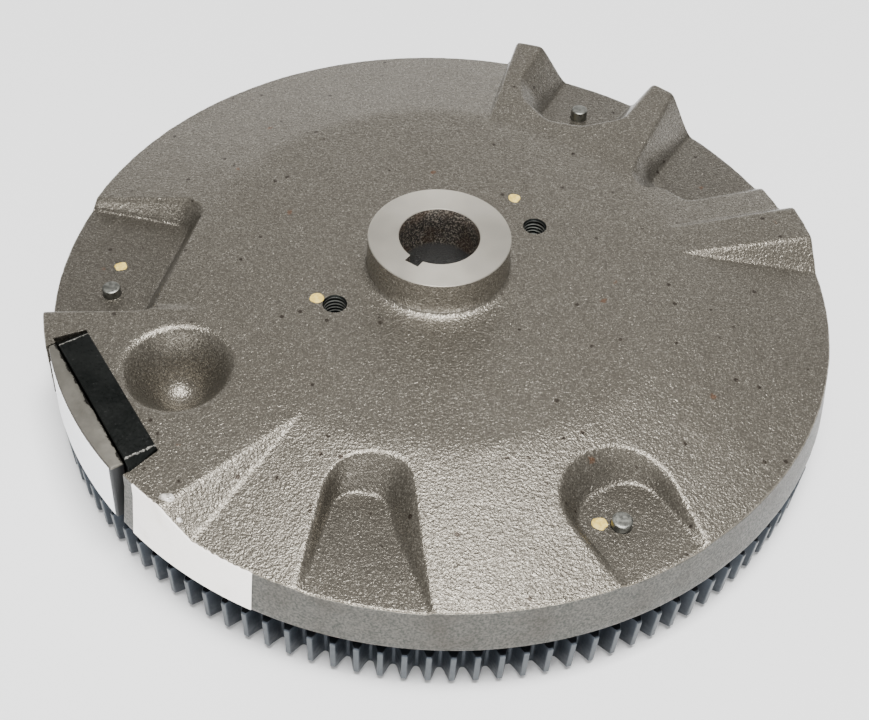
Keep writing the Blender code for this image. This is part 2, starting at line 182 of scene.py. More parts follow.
def waviness(x, y, height, period, seed):
    """A smooth, repeatable unevenness from a few crossing waves."""
    rng = np.random.default_rng(seed)
    total = np.zeros_like(x)
    for _ in range(7):
        angle, phase, stretch = rng.uniform(0, math.tau), rng.uniform(0, math.tau), rng.uniform(0.6, 1.6)
        k = math.tau / (period * stretch)
        total += np.sin(k * (np.cos(angle) * x + np.sin(angle) * y) + phase)
    return height * total / 7.0 ** 0.5


def blurred(values, sigma, axis, wrap):
    """A small Gaussian blur along one axis; sigma is in samples."""
    reach = int(math.ceil(3 * sigma))
    weights = np.exp(-0.5 * (np.arange(-reach, reach + 1) / sigma) ** 2)
    weights /= weights.sum()
    pad = [(0, 0), (0, 0)]
    pad[axis] = (reach, reach)
    padded = np.pad(values, pad, mode="wrap" if wrap else "edge")
    total = np.zeros_like(values)
    for k, weight in enumerate(weights):
        window = [slice(None), slice(None)]
        window[axis] = slice(k, k + values.shape[axis])
        total += weight * padded[tuple(window)]
    return total


# Mesh helpers

def add_object(name, data):
    ob = bpy.data.objects.new(name, data)
    bpy.context.scene.collection.objects.link(ob)
    return ob


def set_smooth(mesh, degrees=35.0):
    mesh.shade_smooth()
    mesh.set_sharp_from_angle(angle=math.radians(degrees))


def faces_mesh(name, points, groups, slots=None):
    """A mesh from points, in millimetres, and arrays of faces with equal corners."""
    mesh = bpy.data.meshes.new(name)
    points = np.ascontiguousarray(points, np.float32) * np.float32(MM)
    corners = np.concatenate([group.ravel() for group in groups]).astype(np.int32)
    sizes = np.concatenate([np.full(len(group), group.shape[1]) for group in groups])
    mesh.vertices.add(len(points))
    mesh.vertices.foreach_set("co", points.ravel())
    mesh.loops.add(len(corners))
    mesh.loops.foreach_set("vertex_index", corners)
    mesh.polygons.add(len(sizes))
    mesh.polygons.foreach_set("loop_start", (np.cumsum(sizes) - sizes).astype(np.int32))
    if slots is not None:
        mesh.polygons.foreach_set("material_index", np.ascontiguousarray(slots, np.int32))
    mesh.update(calc_edges=True)
    return mesh


def ring_solid(name, rings):
    """A closed solid from rings of points; the last ring joins the first."""
    count, columns = rings.shape[:2]
    index = np.arange(count * columns).reshape(count, columns)
    a, b = index, np.roll(index, -1, axis=1)
    c, d = np.roll(b, -1, axis=0), np.roll(a, -1, axis=0)
    return faces_mesh(name, rings.reshape(-1, 3), [np.stack([a, b, c, d], -1).reshape(-1, 4)])


def stitched_solid(name, rings, slots):
    """A closed solid from rings whose point counts may differ by an even factor."""
    counts = [len(ring) for ring in rings]
    starts = np.concatenate([[0], np.cumsum(counts)[:-1]])
    quads, quad_slots, triangles, triangle_slots = [], [], [], []
    for k, count in enumerate(counts):
        after = (k + 1) % len(counts)
        if counts[after] == count:
            i = np.arange(count)
            j = (i + 1) % count
            quads.append(np.stack([starts[k] + i, starts[k] + j, starts[after] + j, starts[after] + i], -1))
            quad_slots += [slots[k]] * count
            continue
        coarse, fine = (k, after) if count < counts[after] else (after, k)
        cells = counts[coarse]
        ratio = counts[fine] // cells
        i = np.arange(cells)
        first, second = starts[coarse] + i, starts[coarse] + (i + 1) % cells
        steps = [starts[fine] + (i * ratio + step) % (cells * ratio) for step in range(ratio + 1)]
        for step in range(ratio):
            corner = first if step < ratio // 2 else second
            triangles.append(np.stack([corner, steps[step], steps[step + 1]], -1))
        triangles.append(np.stack([first, second, steps[ratio // 2]], -1))
        triangle_slots += [slots[k]] * (cells * (ratio + 1))
    return faces_mesh(name, np.concatenate(rings), [np.concatenate(quads), np.concatenate(triangles)],
                      quad_slots + triangle_slots)


def turned_rings(profile, columns):
    """Rings of points for a profile of (radius, height)."""
    angles = np.arange(columns) * 360.0 / columns
    profile = np.array(profile, float)
    x, y = polar(profile[:, :1], angles[None, :])
    z = np.repeat(profile[:, 1:], len(angles), axis=1)
    return np.stack([x, y, z], -1)


def turned_at(name, profile, circle, degrees):
    """A turned solid whose axis stands on a circle round the shaft."""
    rings = turned_rings(profile, 48)
    rings[..., :2] += polar(circle, degrees)
    return ring_solid(name, rings)


def heights(node):
    """The lowest and highest points of a CAD node, in millimetres."""
    low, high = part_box(node)
    return low.z / MM, high.z / MM


def outward(mesh):
    """Points every face outwards."""
    bm = bmesh.new()
    bm.from_mesh(mesh)
    bmesh.ops.recalc_face_normals(bm, faces=bm.faces)
    bm.to_mesh(mesh)
    bm.free()


def piece(name, mesh, materials, slot, *nodes, sharp=35.0):
    """Puts a mesh in the scene, riding on the wheel and standing for its CAD nodes."""
    outward(mesh)
    set_smooth(mesh, sharp)
    ob = add_object(name, mesh)
    for mat in materials:
        mesh.materials.append(mat)
    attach(ob, "root")
    if nodes:
        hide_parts(*nodes)


def from_bmesh(name, bm):
    mesh = bpy.data.meshes.new(name)
    bm.to_mesh(mesh)
    bm.free()
    return mesh


def loft(name, near, far):
    """A solid between two matching loops of points, in millimetres."""
    bm = bmesh.new()
    near, far = ([bm.verts.new([c * MM for c in point]) for point in loop] for loop in (near, far))
    bm.faces.new(near)
    bm.faces.new(far)
    for i in range(len(near)):
        j = (i + 1) % len(near)
        bm.faces.new((near[i], near[j], far[j], far[i]))
    bmesh.ops.recalc_face_normals(bm, faces=bm.faces)
    return from_bmesh(name, bm)


def prism(name, low, high, z_low, z_high):
    """A solid between two matching outlines on plan."""
    return loft(name, [(x, y, z_low) for x, y in low], [(x, y, z_high) for x, y in high])


def chord_outline(points):
    """Points of (outward, along) in the magnet's frame, as x and y."""
    return [from_turned_frame(n, t, MAGNET_ANGLE) for n, t in points]


def baked(ob):
    """Applies an object's modifiers."""
    graph = bpy.context.evaluated_depsgraph_get()
    mesh = bpy.data.meshes.new_from_object(ob.evaluated_get(graph))
    ob.modifiers.clear()
    ob.data = mesh
    return ob


# Materials

class Shader:
    """A material on a Principled node, with short calls for the nodes it needs."""

    def __init__(self, name, metallic=0.0, **plain):
        self.material = bpy.data.materials.new(name)
        self.material.use_nodes = True
        self.tree = self.material.node_tree
        self.out = self.tree.nodes["Principled BSDF"]
        self.out.inputs["Metallic"].default_value = metallic
        for socket, value in plain.items():
            self.out.inputs[socket.replace("_", " ")].default_value = value
        self.place = self.node("ShaderNodeTexCoord").outputs["Object"]

    def node(self, kind, **settings):
        made = self.tree.nodes.new(kind)
        for key, value in settings.items():
            setattr(made, key, value)
        return made

    def give(self, socket, value):
        if isinstance(value, bpy.types.NodeSocket):
            self.tree.links.new(value, socket)
        else:
            socket.default_value = value

    def plug(self, made, **values):
        for key, value in values.items():
            self.give(made.inputs[key.replace("_", " ")], value)
        return made.outputs

    def noise(self, size_mm, detail=2.0, roughness=0.5, place=None):
        return self.plug(self.node("ShaderNodeTexNoise"), Vector=place or self.place,
                         Scale=1000.0 / size_mm, Detail=detail, Roughness=roughness)["Fac"]

    def cells(self, size_mm, output="Distance"):
        made = self.node("ShaderNodeTexVoronoi")
        return self.plug(made, Vector=self.place, Scale=1000.0 / size_mm)[output]

    def math(self, operation, a, b=0.0):
        made = self.node("ShaderNodeMath", operation=operation)
        self.give(made.inputs[0], a)
        self.give(made.inputs[1], b)
        return made.outputs[0]

    def between(self, value, low, high, to_low=0.0, to_high=1.0):
        """Maps low..high to a new range, with smooth ends."""
        made = self.node("ShaderNodeMapRange", interpolation_type="SMOOTHSTEP")
        return self.plug(made, Value=value, From_Min=low, From_Max=high,
                         To_Min=to_low, To_Max=to_high)["Result"]

    def mix(self, factor, a, b):
        made = self.node("ShaderNodeMix", data_type="RGBA")
        self.give(made.inputs[0], factor)
        for socket, colour in ((made.inputs[6], a), (made.inputs[7], b)):
            if isinstance(colour, tuple):
                colour = (*colour, 1.0)
            self.give(socket, colour)
        return made.outputs[2]

    def axes(self):
        made = self.node("ShaderNodeSeparateXYZ")
        self.give(made.inputs[0], self.place)
        return made.outputs

    def vector(self, operation, a, b=None):
        made = self.node("ShaderNodeVectorMath", operation=operation)
        self.give(made.inputs[0], a)
        if b is not None:
            made.inputs[1].default_value = b
        return made.outputs

    def on_plan(self):
        return self.vector("MULTIPLY", self.place, (1.0, 1.0, 0.0))[0]

    def radius(self):
        """Distance from the shaft's axis, in metres."""
        return self.vector("LENGTH", self.on_plan())["Value"]

    def distance(self, x, y):
        """Distance on plan from a point given in millimetres, in metres."""
        return self.vector("DISTANCE", self.on_plan(), (x * MM, y * MM, 0.0))["Value"]

    def magnet_frame(self, outward, along):
        """Distance in a direction of the magnet's frame, in metres."""
        direction = from_turned_frame(outward, along, MAGNET_ANGLE)
        return self.vector("DOT_PRODUCT", self.place, (*direction, 0.0))["Value"]

    def bump(self, height, depth_mm, strength=1.0, after=None):
        made = self.node("ShaderNodeBump")
        if after is not None:
            self.give(made.inputs["Normal"], after)
        return self.plug(made, Strength=strength, Distance=depth_mm * MM, Height=height)["Normal"]

    def finish(self, colour=None, roughness=None, normal=None):
        for name, value in (("Base Color", colour), ("Roughness", roughness), ("Normal", normal)):
            if isinstance(value, tuple):
                value = (*value, 1.0)
            if value is not None:
                self.give(self.out.inputs[name], value)
        return self.material


def cast_iron(name, tone=1.0, grain_and_glint=1.0, specked=1.0):
    """Blasted sand-cast iron: a fine grain with painted glints, painted shade in the pockets, and specks of
    rust and dirt.
    """
    s = Shader(name, metallic=0.72)
    grains = s.noise(0.56, detail=2.0, roughness=0.6)
    patches = s.noise(30.0, detail=3.0)
    dark = tuple(c * tone for c in (0.080, 0.071, 0.057))
    light = tuple(c * tone for c in (0.152, 0.138, 0.113))
    colour = s.mix(s.between(grains, 0.38, 0.62), dark, light)
    dull = tuple(c * tone for c in (0.085, 0.074, 0.057))
    colour = s.mix(s.between(patches, 0.4, 0.75, 0.0, 0.25), colour, dull)

    # Painted glints: single grains coloured light, standing in for facets that catch the lamp
    facet = s.cells(0.36, output="Color")
    painted_glint = s.between(facet, 0.76, 0.84, 0.0, 0.36 * grain_and_glint)
    colour = s.mix(painted_glint, colour, (0.44, 0.41, 0.35))

    # Painted shade: the pockets' walls and floors are coloured darker than the blasted face, where shade
    # falls in them
    fall = s.math("MULTIPLY", s.math("MAXIMUM", s.math("SUBTRACT", s.radius(), 0.080), 0.0), 0.1312)
    depth = s.math("SUBTRACT", s.math("SUBTRACT", DISC_TOP * MM, fall), s.axes()[2])
    from_bowl = s.distance(*BOWL_PLACE)
    sunk = s.math("MULTIPLY", s.between(depth, 0.0006, 0.0034), s.between(from_bowl, 0.0185, 0.0195))
    outer = s.math("MULTIPLY", sunk, s.between(s.radius(), 0.074, 0.076))
    colour = s.mix(s.math("MULTIPLY", outer, 0.24), colour, (0.022, 0.019, 0.015))

    # A few ragged rust spots, then small dark specks in some places only
    ragged = s.math("MULTIPLY", s.noise(1.6, detail=3.0), 0.118 * specked)
    reach = s.math("ADD", s.cells(27.0), ragged)
    colour = s.mix(s.between(reach, 0.107, 0.085, 0.0, 0.62), colour, (0.12, 0.052, 0.022))
    dirt = s.math("MULTIPLY", s.between(s.cells(7.0), 0.135, 0.08),
                  s.between(s.noise(9.0, detail=1.0), 0.46, 0.52, 0.0, 0.85 * specked))
    colour = s.mix(dirt, colour, (0.022, 0.015, 0.010))
    roughness = s.between(grains, 0.3, 0.7, 0.37, 0.24)
    normal = s.bump(s.noise(4.5, detail=2.0), 0.20, 0.6)
    normal = s.bump(s.noise(0.95, detail=1.0), 0.20 * grain_and_glint, 0.8, after=normal)
    normal = s.bump(grains, 0.17 * grain_and_glint, 0.9, after=normal)
    return s.finish(colour, roughness, normal)


def machined_iron(name, colour, ring_mm=0.35, roughness=0.34):
    """Faced iron: fine rings round the shaft's axis."""
    s = Shader(name, metallic=1.0, Anisotropic=0.3, Anisotropic_Rotation=0.25)
    turning = s.node("ShaderNodeTangent", direction_type="RADIAL", axis="Z")
    s.give(s.out.inputs["Tangent"], turning.outputs["Tangent"])
    rings = s.node("ShaderNodeTexWave", wave_type="RINGS", rings_direction="Z", wave_profile="SAW")
    rings = s.plug(rings, Vector=s.place, Scale=0.314 / (ring_mm * MM), Distortion=0.6, Detail=2.0)["Fac"]
    smear = s.noise(9.0, detail=3.0)
    darkest, dark, light = (tuple(c * share for c in colour) for share in (0.75, 0.97, 1.03))
    tint = s.mix(s.between(smear, 0.3, 0.7), dark, light)
    tint = s.mix(s.between(rings, 0.0, 1.0, 0.0, 0.35), tint, darkest)
    normal = s.bump(rings, 0.02, 0.5)
    normal = s.bump(s.noise(0.5, detail=2.0), 0.02, 0.4, after=normal)
    return s.finish(tint, s.between(smear, 0.3, 0.7, roughness, roughness + 0.03), normal)


def tapped_thread(name):
    """A cut thread with painted light: its crests are coloured light as painted highlights, its grooves
    dark as painted shade.
    """
    s = Shader(name, metallic=0.9)
    above = s.math("SUBTRACT", s.axes()[2], THREAD_START * MM)
    turn = s.math("FRACT", s.math("DIVIDE", above, THREAD_PITCH * MM))
    crest = s.between(s.math("ABSOLUTE", s.math("SUBTRACT", turn, 0.5)), 0.26, 0.42)
    oil = s.noise(1.5, detail=2.0)
    # Painted highlight on the crests, painted shade in the grooves
    colour = s.mix(crest, (0.012, 0.014, 0.013), (0.50, 0.51, 0.47))
    colour = s.mix(s.between(oil, 0.4, 0.7, 0.0, 0.5), colour, (0.03, 0.032, 0.03))
    return s.finish(colour, s.between(oil, 0.3, 0.7, 0.34, 0.46), s.bump(oil, 0.03, 0.4))


def rim_iron(name):
    """The rim wall: smoother, ground in places, with a rusty lower edge."""
    s = Shader(name, metallic=0.9)
    grains = s.noise(0.7, detail=3.0, roughness=0.6)
    patches = s.noise(14.0, detail=3.0)
    colour = s.mix(s.between(grains, 0.3, 0.7), (0.052, 0.055, 0.049), (0.125, 0.118, 0.106))
    colour = s.mix(s.between(patches, 0.45, 0.75, 0.0, 0.45), colour, (0.055, 0.048, 0.040))
    height = s.math("ADD", s.axes()[2], s.math("MULTIPLY", s.noise(2.2, detail=3.0), 0.0008))
    edge = s.between(height, (WALL_BOTTOM + 0.75) * MM, (WALL_BOTTOM + 0.35) * MM, 0.0, 0.85)
    colour = s.mix(edge, colour, (0.11, 0.05, 0.03))
    normal = s.bump(s.noise(4.0, detail=2.0), 0.06, 0.5)
    normal = s.bump(grains, 0.12, 0.6, after=normal)
    return s.finish(colour, s.between(grains, 0.3, 0.7, 0.50, 0.38), normal)


def bore_iron(name):
    """The inside of the bore: dark oily iron, speckled brown where it is rough."""
    s = Shader(name, metallic=0.5)
    grains = s.noise(0.6, detail=3.0, roughness=0.6)
    rust_zone = s.noise(6.0, detail=2.0)
    colour = s.mix(s.between(grains, 0.46, 0.66), (0.048, 0.042, 0.035), (0.47, 0.41, 0.34))
    colour = s.mix(s.between(rust_zone, 0.45, 0.7, 0.0, 0.5), colour, (0.07, 0.035, 0.015))
    deep = s.between(s.axes()[2], 0.0385, 0.0365)
    colour = s.mix(deep, colour, (0.10, 0.098, 0.092))
    roughness = s.math("SUBTRACT", 0.5, s.math("MULTIPLY", deep, 0.2))
    normal = s.bump(grains, 0.45, 0.9)
    return s.finish(colour, roughness, normal)


def gear_steel(name):
    """Blued steel, lighter on the tip lands and with fine hobbing marks."""
    s = Shader(name, metallic=0.75)
    wear = s.noise(1.6, detail=3.0)
    patches = s.noise(12.0, detail=2.0)
    colour = s.mix(s.between(patches, 0.3, 0.7), (0.014, 0.018, 0.024), (0.027, 0.033, 0.041))
    tip = s.between(s.radius(), 0.12895, 0.12925)
    worn = s.math("MULTIPLY", tip, s.between(wear, 0.3, 0.6, 0.5, 1.0))
    colour = s.mix(worn, colour, (0.075, 0.083, 0.090))
    stretch = s.plug(s.node("ShaderNodeMapping"), Vector=s.place, Scale=(1.0, 1.0, 0.15))["Vector"]
    marks = s.noise(0.35, detail=2.0, place=stretch)
    normal = s.bump(marks, 0.05, 0.5)
    return s.finish(colour, s.between(wear, 0.3, 0.7, 0.38, 0.52), normal)


def pin_steel(name):
    s = Shader(name, metallic=0.95)
    smear = s.noise(1.4, detail=3.0)
    colour = s.mix(s.between(smear, 0.35, 0.65), (0.12, 0.12, 0.108), (0.20, 0.20, 0.18))
    normal = s.bump(s.noise(0.4, detail=2.0), 0.03, 0.5)
    return s.finish(colour, s.between(smear, 0.3, 0.7, 0.34, 0.5), normal)


def black_cover(name):
    """Black coated magnet: satin, scuffed grey where it bends."""
    s = Shader(name, metallic=0.0, Specular_IOR_Level=0.12)
    scuffs = s.noise(0.9, detail=4.0, roughness=0.65)
    broad = s.noise(8.0, detail=2.0)
    colour = s.mix(s.between(broad, 0.3, 0.7), (0.002, 0.0026, 0.0022), (0.005, 0.0056, 0.005))
    colour = s.mix(s.between(scuffs, 0.66, 0.78, 0.0, 0.7), colour, (0.07, 0.07, 0.065))

    # Worn bright along the two folds, where the cover turns down at the magnet's ends
    along = s.magnet_frame(0.0, 1.0)
    for fold in MAGNET_ENDS:
        away = s.math("ABSOLUTE", s.math("SUBTRACT", along, fold * MM))
        away = s.math("ADD", away, s.math("MULTIPLY", s.noise(0.9, detail=3.0), 0.0012))
        worn = s.math("MULTIPLY", s.between(away, 0.00095, 0.0006, 0.0, 0.8),
                      s.between(s.axes()[2], 0.0410, 0.0414))
        colour = s.mix(worn, colour, (0.34, 0.33, 0.30))
    normal = s.bump(s.noise(3.0, detail=3.0), 0.12, 0.5)
    normal = s.bump(scuffs, 0.03, 0.5, after=normal)
    return s.finish(colour, s.between(scuffs, 0.3, 0.8, 0.26, 0.5), normal)


def shoe_steel(name):
    """The pole shoe: smooth tan-grey steel."""
    s = Shader(name, metallic=0.85)
    smear = s.noise(5.0, detail=4.0, roughness=0.6)
    fine = s.noise(0.6, detail=2.0)
    colour = s.mix(s.between(smear, 0.3, 0.7), (0.135, 0.127, 0.108), (0.165, 0.155, 0.132))
    colour = s.mix(s.between(fine, 0.6, 0.75, 0.0, 0.3), colour, (0.2, 0.17, 0.13))
    colour = s.mix(s.between(s.axes()[2], 0.0397, 0.0393), colour, (0.045, 0.046, 0.047))

    # The magnet's black coating is smeared over the joint
    across = s.magnet_frame(1.0, 0.0)
    reach = s.math("MULTIPLY", s.noise(3.0, detail=4.0, roughness=0.7), 0.0034)
    smeared = s.math("SUBTRACT", s.math("SUBTRACT", across, (MAGNET_OUTER - 1.0) * MM), reach)
    colour = s.mix(s.between(smeared, 0.0003, 0.0), colour, (0.012, 0.011, 0.009))
    normal = s.bump(fine, 0.05, 0.5)
    return s.finish(colour, s.between(smear, 0.3, 0.7, 0.44, 0.50), normal)


def paper(name, colour, stain, stain_share=0.35):
    """A label: fine paper grain, faint smudges."""
    s = Shader(name, metallic=0.0)
    fibres = s.noise(0.7, detail=4.0, roughness=0.65)
    smudge = s.noise(9.0, detail=4.0, roughness=0.6)
    tint = s.mix(s.between(smudge, 0.5, 0.8, 0.0, stain_share), colour, stain)
    tint = s.mix(s.between(fibres, 0.4, 0.75, 0.0, 0.12), tint, stain)
    normal = s.bump(fibres, 0.03, 0.4)
    return s.finish(tint, s.between(fibres, 0.3, 0.7, 0.45, 0.6), normal)


def paint(name):
    s = Shader(name, metallic=0.0)
    streak = s.noise(1.2, detail=3.0)
    colour = s.mix(s.between(streak, 0.35, 0.65), (0.56, 0.39, 0.06), (0.76, 0.57, 0.15))
    normal = s.bump(streak, 0.08, 0.6)
    return s.finish(colour, 0.5, normal)


def ferrite(name):
    s = Shader(name, metallic=0.2)
    fine = s.noise(0.9, detail=3.0, roughness=0.6)
    broad = s.noise(7.0, detail=2.0)
    colour = s.mix(s.between(fine, 0.35, 0.7), (0.030, 0.030, 0.033), (0.075, 0.075, 0.08))
    colour = s.mix(s.between(broad, 0.5, 0.75, 0.0, 0.4), colour, (0.10, 0.09, 0.08))
    normal = s.bump(fine, 0.08, 0.5)
    return s.finish(colour, s.between(fine, 0.3, 0.7, 0.45, 0.65), normal)


CAST = cast_iron("cast iron")
# Painted light: a lighter copy of the cast iron, so the hub's side comes out as bright as when lit
HUB_WALL_PAINTED_LIGHT = cast_iron("hub wall painted light", tone=1.35, grain_and_glint=1.2, specked=0.5)
MACHINED = machined_iron("faced iron", (0.62, 0.58, 0.50), roughness=0.37)
RIM = rim_iron("rim iron")
BORE = bore_iron("bore iron")
THREAD = tapped_thread("tapped thread")
# Worn rim edge, partly painted highlight: a twice-as-light copy of the cast iron paints the bright line
# along the rounded edge
EDGE_WEAR_AND_HIGHLIGHT = cast_iron("worn edge painted highlight", tone=2.0, grain_and_glint=1.4, specked=0.5)


# The casting's upper surface

# Each pocket: direction, floor height, the floor's rise per unit outwards, then
# the corners of its floor and of its upper edge as (outward, sideways, radius)
POCKETS = (
    (62.5, 30.3, 0.0,
     [(96, -12.5, 9), (170, -18.5, 0), (170, 17.5, 0), (96, 11, 9)],
     [(102, -21, 8), (170, -25.5, 0), (170, 26, 0), (103, 23.5, 10), (94, 17.5, 12),
      (87.5, 4, 8), (90.5, -8.5, 10)]),
    (182.5, 30.5, 0.0,
     [(86, -24.9, 6), (170, -45.2, 0), (170, 23.5, 0), (97.5, 22, 5)],
     [(79.2, -30.5, 9), (170, -40.1, 0), (170, 28.4, 0), (91.8, 24.3, 2.5)]),
    (302.5, 31.5, 0.062,
     [(96, -14.6, 10.5), (170, -11, 0), (170, 12.2, 0), (96, 12, 9.5)],
     [(86.4, -19, 16.5), (170, -10.5, 0), (170, 6.5, 0), (86.4, 19.6, 16.5)]),
    (262.5, 31.6, 0.061,
     [(89.2, -13.7, 6.5), (170, -15.8, 0), (170, 49, 0), (105, 8.1, 30), (89.2, 0.9, 5.5)],
     [(79.8, -16, 13), (170, -17.2, 0), (170, 34.7, 0), (79.8, 6.2, 9)]),
    (35.0, 30.5, 0.0,
     [(95, -12, 6), (170, -23.3, 0), (170, 39.5, 0), (95, 5, 6)],
     [(93, -15.3, 4), (170, -28.5, 0), (170, 59.5, 0), (83.5, 4.7, 5), (83, -4, 3.5),
      (89.5, -5.5, 4)]),
)


def bare_surface(x, y):
    """Height of the disc, the cone and what stands on them, without the pockets."""
    r = np.hypot(x, y)
    angle = np.degrees(np.arctan2(y, x))
    ridge = 79.7 + 3.3 * y / np.maximum(r, 1.0)
    cone = DISC_TOP - (r - ridge) * (DISC_TOP - CONE_EDGE_HEIGHT) / (CONE_EDGE_RADIUS - ridge)
    surface = smooth_min(np.full_like(r, DISC_TOP), cone, 0.5)

    # Magnet sector: level, with a sloping front face
    ahead = (x + 42.1) * 0.718 - (y + 71.5) * 0.696
    level = smooth_min(np.full_like(r, DISC_TOP), DISC_TOP - 0.53 * ahead, 0.35)
    share = ease(-y, 24.0, 28.0)
    surface = surface + share * (smooth_max(surface, level, 0.2) - surface)

    # Horns: they rise outwards, with one steep flank at the back
    crest = DISC_TOP + (r - 80.0) * HORN_RISE
    flank = cone - 1.0 + 7.0 * r * np.sin(np.radians(79.1 - angle))
    horns = smooth_min(crest, flank, 1.5)
    share = ease(angle, 34.0, 38.0)
    surface = surface + share * (smooth_max(surface, horns, 0.2) - surface)

    # Fin: a flat-topped ridge with sloping sides
    u, v = in_turned_frame(x, y, 13.0)
    top = DISC_TOP + 0.03 * (u - 84.0)
    front = top + 0.75 * (v + 6.5)
    back = top - 1.0 * (v - 6.9 - 0.05 * (u - 91.0))
    fin = smooth_min(smooth_min(top, front, 0.4), back, 0.4)
    return np.where(u > 60.0, smooth_max(surface, fin, 0.3), surface)


def bowl_depth(reach):
    """Depth of the bowl beside the magnet: a cone with a round bottom and rim."""
    slope = math.radians(BOWL_SLOPE)
    rim_in = BOWL_RADIUS - BOWL_RIM * math.sin(slope)
    cone_in = BOWL_BOTTOM * math.sin(slope)
    away = np.clip(BOWL_RADIUS - reach, 0.0, BOWL_RIM * math.sin(slope))
    rim = BOWL_RIM - np.sqrt(BOWL_RIM ** 2 - away ** 2)
    cone = (rim_in - np.clip(reach, cone_in, rim_in)) * math.tan(slope)
    near = np.clip(reach, 0.0, cone_in)
    bottom = np.sqrt(BOWL_BOTTOM ** 2 - near ** 2) - BOWL_BOTTOM * math.cos(slope)
    return rim + cone + bottom


def top_surface(x, y):
    """Height of the finished upper surface."""
    surface = bare_surface(x, y)
    for direction, floor, rise, low, high in POCKETS:
        u, v = in_turned_frame(x, y, direction)
        near = (u > 72.0) & (np.abs(v) < 50.0)
        un, vn = u[near], v[near]
        within = depth_inside(un, vn, rounded(high))
        beyond = np.maximum(-depth_inside(un, vn, rounded(low)), 0.0)
        share = beyond / (beyond + np.maximum(within, 0.0) + 1e-9)
        share = 0.8 * share + 0.2 * share * share * (3.0 - 2.0 * share)
        level = floor + rise * (un - 96.0)
        sunk = level + (surface[near] - level) * share
        surface[near] = np.where(within > 0.0, np.minimum(sunk, surface[near]), surface[near])
    reach = np.hypot(x - BOWL_PLACE[0], y - BOWL_PLACE[1])
    surface = np.where(reach < BOWL_RADIUS, surface - bowl_depth(reach), surface)
    return surface + waviness(x, y, 0.05, 26.0, seed=3)


def wall_radius(z, degrees):
    """The rim wall's radius at some heights and angles."""
    radii, heights = zip(*WALL_PROFILE)
    drafted = np.interp(z, heights, radii)
    sector = SECTOR_WALL_LOW - (z - WALL_BOTTOM) * SECTOR_DRAFT
    angle = np.mod(degrees, 360.0)
    return drafted + ease(angle, 192.9, 193.6) * ease(angle, 226.9, 226.5) * (sector - drafted)


def edge_rounding(degrees):
    """Radius of the rim's upper edge: crispest beside the magnet and at the horns."""
    angle = np.mod(degrees, 360.0)
    magnet = ease(angle, 182.0, 182.5) * ease(angle, 241.5, 240.5)
    horns = ease(angle, 26.4, 26.9) * ease(angle, 79.6, 79.1)
    return 0.8 - 0.2 * np.maximum(magnet, horns)


def rim_edge(degrees):
    """Wall radius, height and rounding of the rim's upper edge at some angles."""
    radius = np.full(degrees.shape, 126.5)
    for _ in range(4):
        x, y = polar(radius, degrees)
        height = top_surface(x, y)
        radius = wall_radius(height, degrees)
    return radius, height, edge_rounding(degrees)


def wall_line(height, foot, edge_r, degrees):
    """The wall's radius below its rounded edge, eased to meet that edge."""
    ease_out = np.clip((height - 22.0) / (foot - 22.0), 0.0, 1.0)
    return wall_radius(height, degrees) + (edge_r - wall_radius(foot, degrees)) * ease_out


def straight(start, end, count):
    """Points on a line, without its end."""
    t = np.arange(count)[:, None] / count
    return np.array(start) + (np.array(end) - np.array(start)) * t


